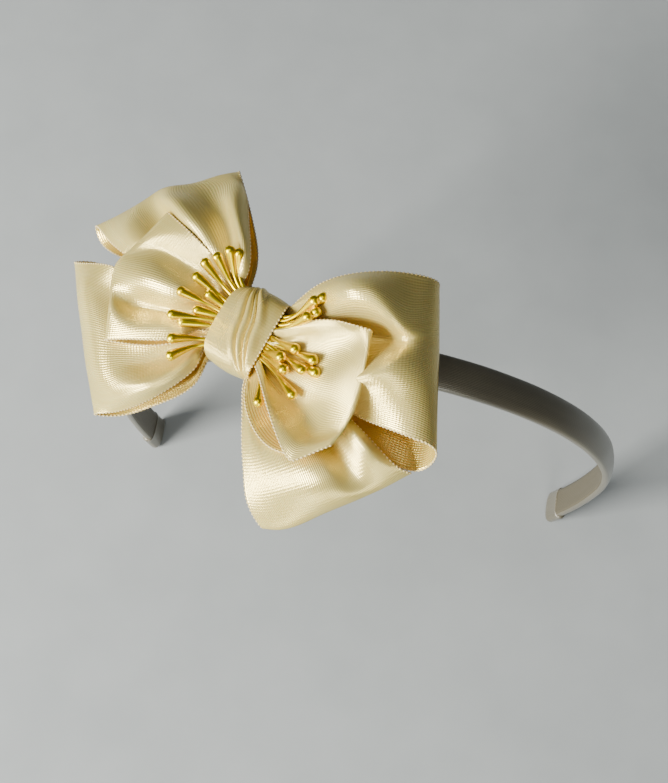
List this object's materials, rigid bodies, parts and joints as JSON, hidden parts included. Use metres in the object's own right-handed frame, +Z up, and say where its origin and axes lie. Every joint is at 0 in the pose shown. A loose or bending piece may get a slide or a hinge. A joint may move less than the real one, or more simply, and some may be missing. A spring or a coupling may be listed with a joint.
{
  "type": "hair band",
  "caption": "Narrow satin-covered hair band with a wide satin ribbon bow, a wrapped centre knot and a fan of pearl flower stamens.",
  "frame": {"origin": "middle of the band's head-side face at its crown", "axes": "+Z up and away from the head, X across the head from leg to leg with the bow on the -X side, the band lies in the XZ plane, -Y is the face seen from the front"},
  "size_m": [0.1764, 0.103, 0.1643],
  "materials": {
    "core_plastic": "smooth moulded strip",
    "olive_satin": "satin ribbon",
    "olive_lining": "fine rib weave",
    "cream_felt": "pressed felt",
    "clear_glue": "set hot glue",
    "cream_satin": "single-face satin with picot selvedges",
    "cream_thread": "spun thread",
    "pearl_yellow": "pearl lacquer"
  },
  "bodies": {
    "root": {"hoop_core": "core_plastic", "hoop_cover": "olive_satin", "hoop_lining": "olive_lining", "tip_left": "olive_satin", "tip_right": "olive_satin", "base_pad": "cream_felt", "glue_bead": "clear_glue", "bow_loop_lower": "cream_satin", "bow_loop_upper": "cream_satin", "bow_petals": "cream_satin", "gather_thread": "cream_thread", "knot_wrap": "cream_satin", "stamen_01": "pearl_yellow", "stamen_02": "pearl_yellow", "stamen_03": "pearl_yellow", "stamen_04": "pearl_yellow", "stamen_05": "pearl_yellow", "stamen_06": "pearl_yellow", "stamen_07": "pearl_yellow", "stamen_08": "pearl_yellow", "stamen_09": "pearl_yellow", "stamen_10": "pearl_yellow", "stamen_11": "pearl_yellow", "stamen_12": "pearl_yellow"}
  },
  "joints": []
}
